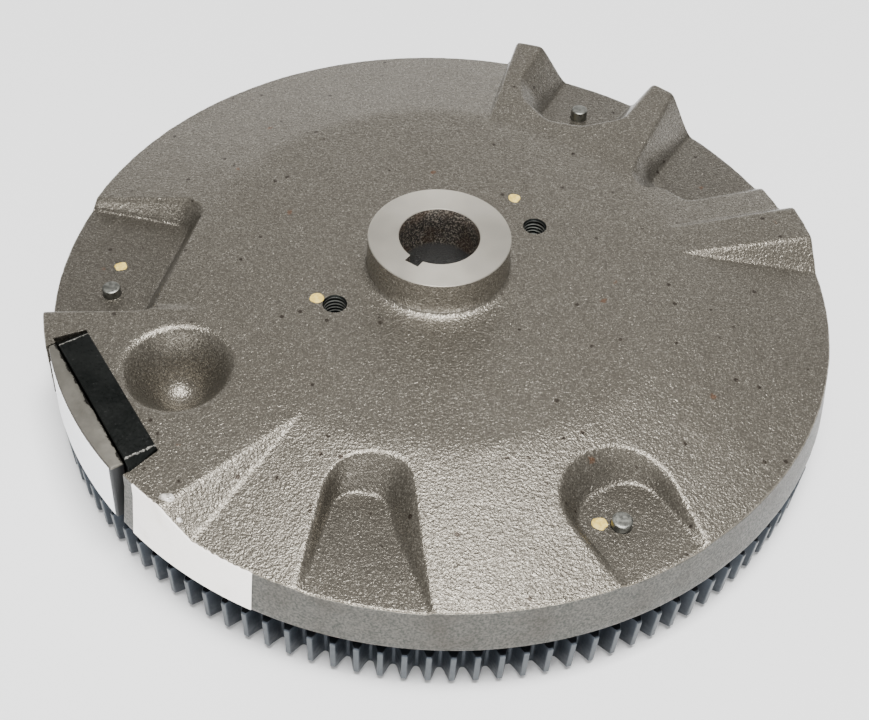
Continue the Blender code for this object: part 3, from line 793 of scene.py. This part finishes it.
def casting_rings():
    """All rings of the casting, from the bore's mouth outwards and back.

    Also gives the range of points on the shaped part of the upper surface.
    """
    rings, slots = [], []
    cast, machined, rim, bore, worn, hub = 0, 1, 2, 3, 4, 5

    def add(points, slot):
        rings.extend(points)
        slots.extend([slot] * len(points))

    def lathe(points, slot, share=4):
        add(turned_rings(points, COLUMNS // share), slot)

    def place(radius, height, degrees, slot):
        x, y = polar(radius, degrees)
        add(np.stack([x, y, height], -1)[None], slot)

    lathe([(RELIEF_RADIUS, HUB_TOP - 0.2)], machined)
    lathe(straight((RELIEF_RADIUS + 0.2, HUB_TOP), (HUB_RADIUS - 0.25, HUB_TOP), 3), machined)
    lathe([(HUB_RADIUS - 0.25, HUB_TOP)], machined)
    foot = HUB_RADIUS + 0.25
    # The hub's side takes the lighter copy of the iron, painted light
    lathe(straight((HUB_RADIUS, HUB_TOP - 0.25), (foot, DISC_TOP + HUB_FILLET[1]), 3), hub)
    t = np.linspace(0.0, 1.0, 12)[:, None]
    corner = (1.0 - t) ** 2 * (foot, DISC_TOP + HUB_FILLET[1]) + t ** 2 * (foot + HUB_FILLET[0], DISC_TOP)
    lathe(corner + 2.0 * t * (1.0 - t) * (foot + 0.35, DISC_TOP + 0.3), cast)
    lathe(straight((32.0, DISC_TOP), (70.0, DISC_TOP), 6), cast)

    # The upper surface, out to where the rim's edge begins to round over
    angles = np.arange(COLUMNS) * 360.0 / COLUMNS
    edge_r, edge_z, rounding = rim_edge(angles)
    last = edge_r - rounding
    inner = 71.0
    share = np.linspace(0.0, 1.0, int((125.0 - inner) / TOP_STEP))[:, None]
    radii = inner + (last[None, :] - inner) * share
    x, y = polar(radii, angles[None, :])
    z = top_surface(x, y)
    z = blurred(blurred(z, 1.1, 0, False), 1.1, 1, True)
    z += (DISC_TOP - z) * ease(radii, inner + 5.0, inner)
    before = sum(len(ring) for ring in rings)
    add(np.stack([x, y, z], -1), cast)
    shaped = range(before + COLUMNS, before + z.size - COLUMNS)

    # The rounded edge and the wall below it
    angles, edge_z, last, rounding = angles[::2], z[-1, ::2], last[::2], rounding[::2]
    edge_r = last + rounding
    nicks = waviness(*polar(60.0, angles), 0.06, 2.0, seed=31)
    for step in range(1, 6):
        turn = math.radians(18.0 * step)
        radius = last + rounding * math.sin(turn) - nicks * math.sin(2.0 * turn)
        # The top of the rounding takes the worn edge iron, whose lighter tone is partly a painted highlight
        place(radius, edge_z - rounding * (1.0 - math.cos(turn)), angles, worn if step < 3 else rim)
    foot = edge_z - rounding
    for step in range(1, 10):
        height = foot + (WALL_BOTTOM + 0.7 - foot) * step / 9.0
        radius = wall_line(height, foot, edge_r, angles)
        x, y = polar(radius, angles)
        place(radius + waviness(x, y + 3.0 * height, 0.05, 18.0, seed=5), height, angles, rim)

    # The wall's ragged lower edge
    x, y = polar(129.0, angles)
    ragged = waviness(x, y, 0.13, 3.0, seed=8) + waviness(x, y, 0.10, 9.0, seed=9)
    low_edge = wall_radius(WALL_BOTTOM + 0.25, angles) - 0.1
    for radius, height in ((low_edge, WALL_BOTTOM + 0.25), (128.5, 18.0), (127.9, 17.85)):
        place(radius + ragged * 0.5, height + ragged, angles, rim)

    lathe(straight((127.4, 17.8), (124.3, 17.6), 2), cast, 8)
    lathe([(124.0, 17.2), (123.8, 15.2), (123.5, 14.9)], cast, 8)
    lathe([(SKIRT_RADIUS, 14.9), (SKIRT_RADIUS, 0.7)], machined, 8)
    lathe(straight((SKIRT_RADIUS - 0.7, 0.0), (100.2, 0.0), 4), machined, 8)
    lathe([(100.2, 0.0)], cast, 8)
    moat = rounded([(99.4, 0.0, 0), (98.6, 14.0, 3.0), (84.4, 14.0, 3.0),
                    (83.8, 2.0, 1.2), (82.0, 2.0, 0)], 6)
    lathe(moat, cast, 8)
    lathe([(76.0, 2.0), (75.2, 2.0)], machined, 8)
    lathe(straight((CAVITY_RADIUS, 3.2), (CAVITY_RADIUS, 28.6), 3), machined, 8)
    web = rounded([(CAVITY_RADIUS, 28.6, 0), (CAVITY_RADIUS, WEB_UNDERSIDE, 2.5),
                   (BOSS_RADIUS + 0.2, WEB_UNDERSIDE, 3.0), (BOSS_RADIUS, 8.0, 0)], 6)
    lathe(web[:-1], cast, 8)
    lathe(straight((BOSS_RADIUS, 27.0), (BOSS_RADIUS, 6.9), 3), cast, 8)
    lathe([(BOSS_RADIUS - 0.2, 6.3), (BOSS_RADIUS - 0.8, BOSS_BOTTOM)], machined, 8)
    lathe([(BOSS_RADIUS - 1.5, BOSS_BOTTOM), (TAPER_BOTTOM_RADIUS + 0.6, BOSS_BOTTOM)], machined, 8)
    lathe([(TAPER_BOTTOM_RADIUS, BOSS_BOTTOM + 0.6), (13.4, 20.0), (TAPER_TOP_RADIUS + 0.1, 36.5)], bore)

    # The cast relief above the taper is rough
    angles = np.arange(COLUMNS // 4) * 1440.0 / COLUMNS
    x, y = polar(RELIEF_RADIUS, angles)
    for height in np.linspace(RELIEF_BOTTOM + 0.6, HUB_TOP - 0.9, 16):
        rough = waviness(x + 2.0 * height, y - 1.3 * height, 0.10, 2.4, seed=12)
        place(RELIEF_RADIUS + rough + 0.1, np.full(x.shape, height), angles, bore)
    return rings, slots, shaped


def cutter(name, mesh, mat):
    outward(mesh)
    ob = add_object(name, mesh)
    mesh.materials.append(mat)
    ob.hide_render = True
    return ob


def casting_cutters():
    """Solids for the magnet's slot, the shoe's notch, the keyway and the drilled holes."""
    made = []
    n0, n1, t0, t1 = MAGNET_INNER, MAGNET_OUTER + 0.3, WEDGE_ENDS[0] - 0.3, WEDGE_ENDS[1] + 0.3
    slot = chord_outline([(n0, t0 + WEDGE_SKEW[0]), (n1, t0), (n1, t1), (n0, t1 + WEDGE_SKEW[1])])
    made.append(cutter("cut magnet slot", prism("slot", slot, slot, 21.7, 60.0), CAST))
    n0, t0 = MAGNET_OUTER, SHOE_ENDS[0] - 0.3
    notch = chord_outline([(n0, t0), (150, t0), (150, NOTCH_END + 1.0), (n0, NOTCH_END)])
    made.append(cutter("cut shoe notch", prism("notch", notch, notch, 16.45, 61.0), CAST))

    side = KEYWAY_WIDTH / 2.0
    key = [from_turned_frame(u, v, KEYWAY_ANGLE)
           for u, v in ((5, -side), (KEYWAY_FLOOR, -side), (KEYWAY_FLOOR, side), (5, side))]
    made.append(cutter("cut keyway", prism("keyway", key, key, -5.0, 60.0), BORE))

    # Tapped puller holes: a chamfered mouth and a thread of V grooves
    top = DISC_TOP + 0.05
    profile = [(0.001, 20.0)]
    height = THREAD_START
    while height < top - 1.2:
        profile += [(PULLER_RADIUS, height), (PULLER_RADIUS + THREAD_DEPTH, height + THREAD_PITCH / 2.0)]
        height += THREAD_PITCH
    wide = PULLER_RADIUS + THREAD_DEPTH
    profile += [(PULLER_RADIUS, top - 0.75), (wide, top), (wide, 45.0), (0.001, 45.0)]
    for i, angle in enumerate(PULLER_ANGLES):
        made.append(cutter("cut puller %d" % i, turned_at("puller", profile, PULLER_CIRCLE, angle), THREAD))
    wide = PIN_RADIUS + 0.12
    profile = [(0.001, 19.7), (wide, 19.7), (wide, 48.0), (0.001, 48.0)]
    for name, angle in PINS:
        made.append(cutter("cut " + name, turned_at(name, profile, PIN_CIRCLE, angle), BORE))
    return made


def build_casting():
    rings, slots, shaped = casting_rings()
    mesh = stitched_solid("flywheel_body", rings, slots)
    outward(mesh)
    ob = add_object("flywheel_body", mesh)
    for mat in (CAST, MACHINED, RIM, BORE, EDGE_WEAR_AND_HIGHLIGHT, HUB_WALL_PAINTED_LIGHT):
        mesh.materials.append(mat)
    ob.vertex_groups.new(name="shaped").add(list(shaped), 1.0, "REPLACE")
    thin = ob.modifiers.new("thin", "DECIMATE")
    thin.vertex_group = "shaped"
    thin.ratio = 165000 / (2 * len(mesh.polygons))
    baked(ob)
    made = casting_cutters()
    for tool in made:
        cut = ob.modifiers.new(tool.name, "BOOLEAN")
        cut.operation = "DIFFERENCE"
        cut.solver = "EXACT"
        cut.material_mode = "TRANSFER"
        cut.object = tool
    baked(ob)
    for tool in made:
        bpy.data.objects.remove(tool, do_unlink=True)
    set_smooth(ob.data, 38.0)
    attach(ob, "root")
    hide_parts("flywheel_casting")


# The other pieces

GEAR_TEETH = 120
GEAR_FIRST_TOOTH = -88.1
GEAR_ROOT = 124.7
TOOTH_DEPTH = 4.6


def build_gear():
    """The starter ring, with filleted roots and bevelled tooth ends."""
    low, high = heights("ring_gear")
    pitch = 360.0 / GEAR_TEETH
    # Half a tooth: radius, and half its width as a share of the pitch
    half = ((124.72, 0.44), (124.95, 0.395), (125.6, 0.345), (126.4, 0.295), (127.2, 0.245),
            (128.0, 0.195), (128.7, 0.15), (129.15, 0.12), (129.3, 0.10))
    tooth = [(GEAR_ROOT, -0.5)] + [(r, -share) for r, share in half]
    tooth += [(r, share) for r, share in reversed(half)]
    radius = np.array([r for r, _share in tooth] * GEAR_TEETH)
    share = np.array([s for _r, s in tooth] * GEAR_TEETH)
    number = np.repeat(np.arange(GEAR_TEETH), len(tooth))

    def ring(bevel, height):
        out = np.clip((radius - GEAR_ROOT) / TOOTH_DEPTH, 0.0, 1.0)
        angle = GEAR_FIRST_TOOTH + pitch * (number + share * (1.0 - 0.22 * bevel * out))
        x, y = polar(radius - bevel * 0.9 * out, angle)
        return np.stack([x, y, np.full(x.shape, height)], -1)

    def inner(bore, height):
        angle = GEAR_FIRST_TOOTH + pitch * (number + share)
        x, y = polar(bore, angle)
        return np.stack([x, y, np.full(x.shape, height)], -1)

    rings = np.stack([
        inner(119.2, low), ring(0.8, low), ring(0.0, low + 0.8), ring(0.0, high - 0.5),
        ring(0.5, high), inner(119.0, high), inner(118.5, high - 0.5), inner(118.5, low + 0.7)])
    piece("starter_ring", ring_solid("starter_ring", rings), [gear_steel("blued gear steel")],
          "gear_steel", "ring_gear", sharp=32.0)


def build_pins():
    mat = pin_steel("pin steel")
    for name, angle in PINS:
        low, high = heights(name)
        profile = [(0.001, low + 0.4), (PIN_RADIUS - 0.4, low), (PIN_RADIUS, low + 0.4),
                   (PIN_RADIUS, high - 0.55), (PIN_RADIUS - 0.12, high - 0.25),
                   (PIN_RADIUS - 0.42, high - 0.06), (PIN_RADIUS - 0.8, high),
                   (0.9, high - 0.05), (0.001, high - 0.06)]
        mesh = turned_at(name + "_turned", profile, PIN_CIRCLE, angle)
        piece(name + "_turned", mesh, [mat], "pin_steel", name)


def bevelled(mesh, width, segments=3, degrees=30.0):
    """Rounds the edges of a simple solid."""
    bm = bmesh.new()
    bm.from_mesh(mesh)
    edges = [e for e in bm.edges if e.calc_face_angle(0.0) > math.radians(degrees)]
    bmesh.ops.bevel(bm, geom=edges, offset=width * MM, segments=segments, profile=0.6, affect="EDGES",
                    clamp_overlap=True)
    bm.to_mesh(mesh)
    bm.free()
    return mesh


def chord_solid(name, near_profile, far_profile, near, far):
    """A solid between two outlines of (along, height), square to the magnet."""
    loops = []
    for distance, profile in ((near, near_profile), (far, far_profile)):
        plan = chord_outline([(distance, along) for along, _height in profile])
        loops.append([(x, y, height) for (x, y), (_along, height) in zip(plan, profile)])
    return loft(name, *loops)


def build_magnet():
    mat = black_cover("black magnet cover")
    near, far = MAGNET_INNER + 0.25, MAGNET_OUTER - 0.05
    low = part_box("ignition_magnet")[0].z / MM
    t0, t1 = MAGNET_ENDS
    outline = [(t0, low), (t1, low), (t1, MAGNET_TOP), (t0, MAGNET_TOP)]
    bar = chord_solid("magnet_bar", outline, outline, near, far)
    piece("magnet_bar", bevelled(bar, 0.5), [mat], "magnet_black", "ignition_magnet")
    for i, name in enumerate(("rear", "front")):
        end, outer = MAGNET_ENDS[i], WEDGE_ENDS[i]
        away = math.copysign(1.0, outer - end)
        start, crest = end + away * 0.12, MAGNET_TOP - 0.15
        outlines = []
        for tip in (outer + WEDGE_SKEW[i], outer):
            fall = 0.8 * abs(tip - start)
            outlines.append([(start, low), (tip, low), (tip, crest - fall), (start, crest)])
        mesh = chord_solid("magnet_end_" + name, *outlines, near, far)
        piece("magnet_end_" + name, bevelled(mesh, 0.2), [mat], "magnet_black", "magnet_wedge_" + name)


def shoe_radius(z):
    return 129.1 - (z - 17.0) * 1.6 / 23.0


def build_shoe():
    low, high = heights("pole_shoe")
    near = MAGNET_OUTER + 0.3

    def outline(radius):
        start, end = (math.degrees(math.asin(t / radius)) for t in SHOE_ENDS)
        angles = np.linspace(start, end, 40)
        arc = [polar(radius, a) for a in angles]
        return chord_outline([(near, SHOE_ENDS[0])] + arc + [(near, SHOE_ENDS[1])])

    mesh = prism("magnet_shoe", outline(shoe_radius(low)), outline(shoe_radius(high)), low, high)
    piece("magnet_shoe", bevelled(mesh, 0.6), [shoe_steel("pole shoe steel")], "shoe_steel", "pole_shoe")


def sheet_solid(name, front, back):
    """A thin closed solid between two grids of points."""
    rows, columns = front.shape[:2]
    points = np.concatenate([front.reshape(-1, 3), back.reshape(-1, 3)])
    index = np.arange(rows * columns).reshape(rows, columns)
    other = index + rows * columns
    faces = []
    for a, b, c, d in ((index[:-1, :-1], index[:-1, 1:], index[1:, 1:], index[1:, :-1]),
                       (other[:-1, :-1], other[1:, :-1], other[1:, 1:], other[:-1, 1:])):
        faces.append(np.stack([a, b, c, d], -1).reshape(-1, 4))
    for edge, far in ((index[0], other[0]), (index[-1], other[-1]), (index[:, 0], other[:, 0]),
                      (index[:, -1], other[:, -1])):
        faces.append(np.stack([edge[:-1], edge[1:], far[1:], far[:-1]], -1))
    return faces_mesh(name, points, [np.concatenate(faces)])


def on_wall(name, radius, height, angles, lifts):
    """A sheet between two lifts above a grid of wall radii and heights."""
    layers = []
    for lift in lifts:
        x, y = polar(radius + lift, angles[None, :])
        layers.append(np.stack([x, y, height], -1))
    return sheet_solid(name, *layers)


def wall_label(name, start, end, low, turn_over, seed):
    """A label on the rim wall that follows the wall up and over its upper edge."""
    angles = np.linspace(start, end, 120)
    edge_r, edge_z, rounding = rim_edge(angles)
    rows = []
    foot = edge_z - rounding
    for share in np.linspace(0.0, 1.0, 14):
        height = low + (foot - low) * share
        rows.append((wall_line(height, foot, edge_r, angles), height))
    for turn in np.radians(np.linspace(0.0, turn_over, 5)[1:]):
        rows.append((edge_r - rounding * (1.0 - np.cos(turn)), foot + rounding * np.sin(turn)))
    radius = np.array([r for r, _z in rows])
    height = np.array([np.broadcast_to(z, angles.shape) for _r, z in rows])
    ragged = waviness(angles * 4.0, angles, 0.12, 3.0, seed)
    height = height + ragged * np.linspace(0.6, 1.0, len(rows))[:, None] ** 6
    return on_wall(name, radius, height, angles, (0.28, 0.08))


def build_labels():
    cream = paper("cream label", (0.92, 0.885, 0.84), (0.62, 0.56, 0.48))
    white = paper("white label", (0.93, 0.935, 0.95), (0.68, 0.68, 0.70), 0.15)
    mesh = wall_label("wall_label", LABEL_START, LABEL_END, 18.85, 60.0, seed=21)
    piece("wall_label", mesh, [cream], "label_cream", "rim_label")

    angles = np.linspace(204.1, 225.3, 90)
    height = np.repeat(np.linspace(18.1, 39.4, 14)[:, None], len(angles), axis=1)
    mesh = on_wall("shoe_label", shoe_radius(height), height, angles, (0.26, 0.06))
    piece("shoe_label", mesh, [white], "label_white", "pole_shoe_label")


def blobs(name, spots, profile):
    """Thin blobs on the upper surface, from (x, y, radius, stretch, seed)."""
    bm = bmesh.new()
    angles = np.arange(32) * 360.0 / 32
    for x0, y0, size, stretch, seed in spots:
        around = polar(5.0, angles)
        edge = size * (1.0 + waviness(*around, 0.07, 6.0, seed))
        loops = []
        for share, lift in profile:
            x, y = polar(edge * share, angles)
            x = x * stretch
            z = top_surface(x0 + x, y0 + y) + lift
            loops.append([bm.verts.new(Vector((x0 + a, y0 + b, c)) * MM) for a, b, c in zip(x, y, z)])
        for one, two in zip(loops, loops[1:]):
            for i in range(32):
                j = (i + 1) % 32
                bm.faces.new((one[i], one[j], two[j], two[i]))
        bm.faces.new(loops[-1])
        bm.faces.new(loops[0])
    return from_bmesh(name, bm)


def build_paint_dots():
    """Inspection marks of yellow paint on the iron, and drops of glue by the label."""
    rear, left, front = (polar(PIN_CIRCLE, angle) for _name, angle in PINS)
    right_hole, left_hole = (polar(PULLER_CIRCLE, angle) for angle in PULLER_ANGLES)
    dots = []
    for hole, right, back, size in ((left, 0, 13, 2.1), (front, -6, 0, 2.2), (right_hole, -7, 14, 2.2),
                                    (left_hole, -6, 2, 2.2), (rear, -6, -6, 1.4)):
        dots.append((hole[0] + right, hole[1] + back, size, 1.0, len(dots) + 1))

    mesh = blobs("paint_dots", dots, ((1.0, -0.3), (1.0, 0.03), (0.86, 0.12), (0.5, 0.16), (0.2, 0.17)))
    piece("paint_dots", mesh, [paint("yellow paint")], "label_cream")
    drops = ((*polar(122.5, LABEL_START + 5.0), 1.35, 1.7, 6),
             (*polar(124.5, LABEL_START + 8.0), 0.7, 1.3, 7))
    mesh = blobs("glue_drops", drops, ((1.0, -0.4), (0.97, 0.25), (0.8, 0.5), (0.45, 0.62), (0.15, 0.66)))
    glue = Shader("clear glue", metallic=0.0)
    cloud = glue.noise(1.5, detail=3.0)
    colour = glue.mix(glue.between(cloud, 0.4, 0.6), (0.20, 0.185, 0.16), (0.60, 0.57, 0.52))
    mat = glue.finish(colour, 0.12, glue.bump(cloud, 0.25, 0.8))
    piece("glue_drops", mesh, [mat], "label_white")


ALTERNATOR_MAGNETS = 12


def build_alternator_magnets():
    mat = ferrite("ferrite magnet")
    for k in range(ALTERNATOR_MAGNETS):
        node = "alternator_magnet_%02d" % (k + 1)
        low, high = heights(node)
        middle = 360.0 / ALTERNATOR_MAGNETS * (k + 0.5)
        angles = np.linspace(middle - 10.7, middle + 10.7, 24)
        outer = [polar(73.7, a) for a in angles]
        inner = [polar(67.2, a) for a in angles[::-1]]
        mesh = bevelled(prism(node, outer + inner, outer + inner, low, high), 0.9)
        piece(node + "_block", mesh, [mat], "ferrite", node)


# Floor, light and camera

def build_stage():
    mesh = bpy.data.meshes.new("floor")
    mesh.from_pydata([(-4, -4, 0), (4, -4, 0), (4, 4, 0), (-4, 4, 0)], [], [(0, 1, 2, 3)])
    floor = add_object("floor", mesh)
    s = Shader("pale floor", metallic=0.0)
    mesh.materials.append(s.finish((0.9, 0.9, 0.9), 0.9))
    floor.location.z = -0.0002


def area_light(name, place, target, size, power):
    lamp = bpy.data.lights.new(name, "AREA")
    lamp.shape = "RECTANGLE"
    lamp.size, lamp.size_y = size
    lamp.energy = power
    ob = add_object(name, lamp)
    ob.location = place
    ob.rotation_mode = "QUATERNION"
    ob.rotation_quaternion = (Vector(target) - Vector(place)).to_track_quat("-Z", "Y")


def build_light_and_camera():
    world = bpy.data.worlds.new("studio")
    bpy.context.scene.world = world
    world.use_nodes = True
    sky = world.node_tree.nodes["Background"].inputs
    sky["Color"].default_value = (1.0, 1.0, 1.0, 1.0)
    sky["Strength"].default_value = 0.35
    area_light("overhead", (0.05, -0.11, 1.35), (0.0, -0.02, 0.03), (0.65, 0.42), 42.0)
    area_light("front card", (0.0, -1.1, 0.15), (0.0, 0.0, 0.03), (2.2, 0.35), 29.0)
    area_light("backdrop", (0.0, 1.5, 0.55), (0.0, 0.0, 0.03), (2.5, 0.7), 10.0)

    data = bpy.data.cameras.new("camera")
    data.sensor_width = 36.0
    data.lens = 49.71
    data.shift_x = 0.0908
    data.shift_y = -0.0017
    data.clip_start = 0.01
    camera = add_object("camera", data)
    camera.location = (0.0, -0.28743, 0.31456)
    camera.rotation_euler = [math.radians(a) for a in (41.709, 0.383, 5.038)]
    bpy.context.scene.camera = camera


build_casting()
build_gear()
build_pins()
build_magnet()
build_shoe()
build_labels()
build_paint_dots()
build_alternator_magnets()
build_stage()
build_light_and_camera()
